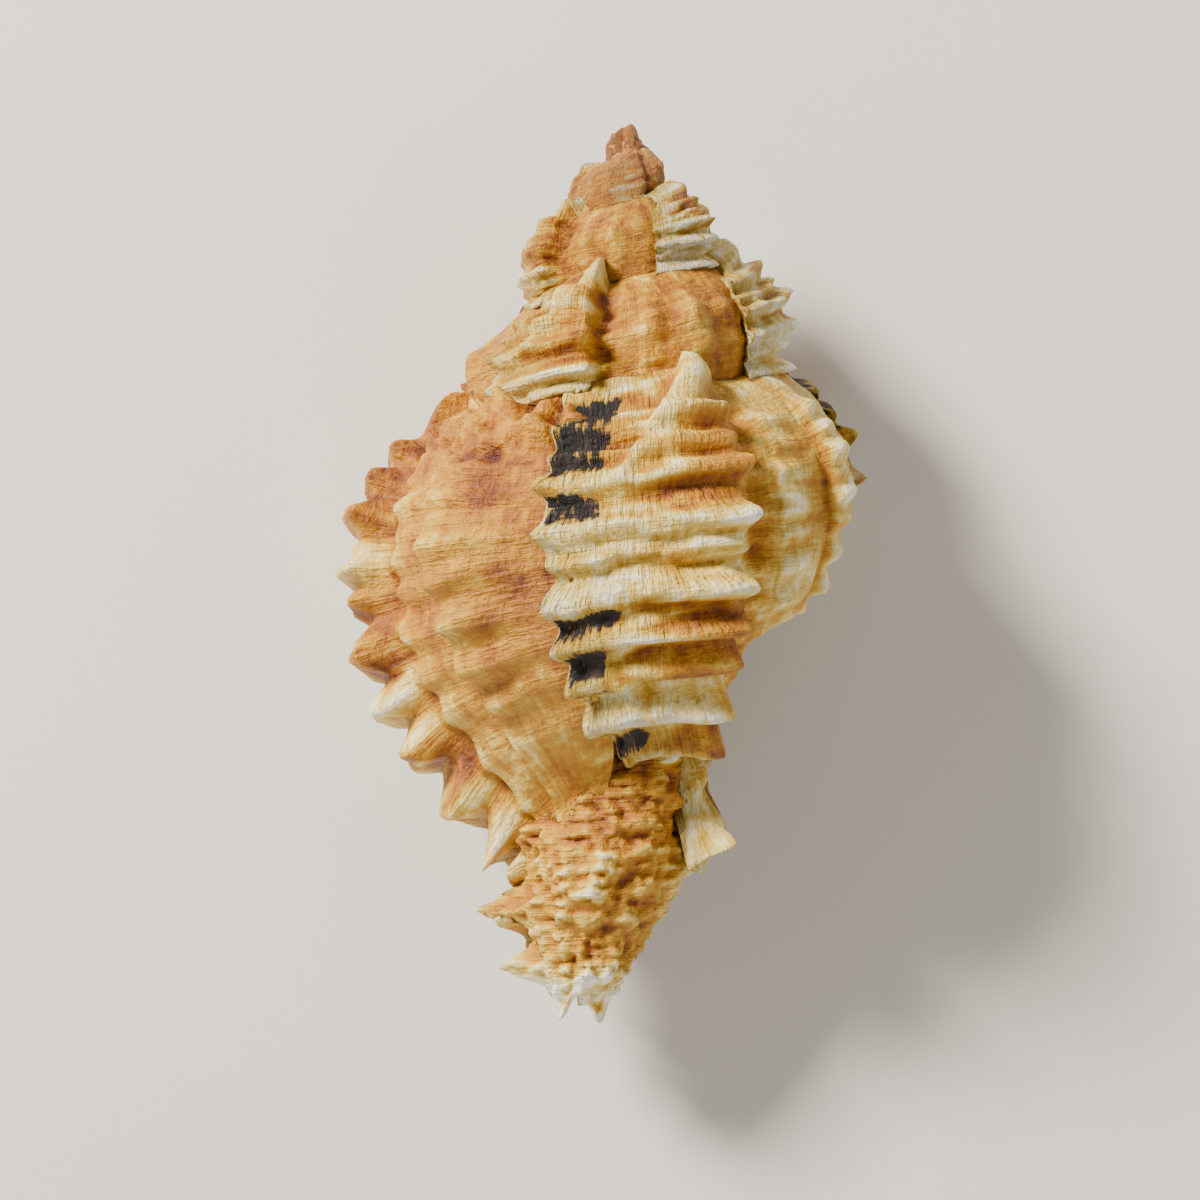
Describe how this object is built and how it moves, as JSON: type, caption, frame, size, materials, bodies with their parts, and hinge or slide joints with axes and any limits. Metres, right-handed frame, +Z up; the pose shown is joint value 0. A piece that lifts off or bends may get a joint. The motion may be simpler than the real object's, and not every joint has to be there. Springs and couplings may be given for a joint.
{
  "type": "murex seashell",
  "caption": "Spiny murex seashell with a conical spire, thick scalloped varices, an oval aperture and a bent siphonal canal, lying on its aperture side.",
  "frame": {"origin": "centre of the footprint box, at the level of the surface the shell lies on", "axes": "+Z up, +Y toward the spire, +X to the right seen from above with the spire away"},
  "size_m": [0.0528, 0.0888, 0.0437],
  "materials": {
    "shell_lime": "weathered calcium carbonate, matt outside and glazed in the aperture"
  },
  "bodies": {
    "root": {"shell": "shell_lime"}
  },
  "joints": []
}
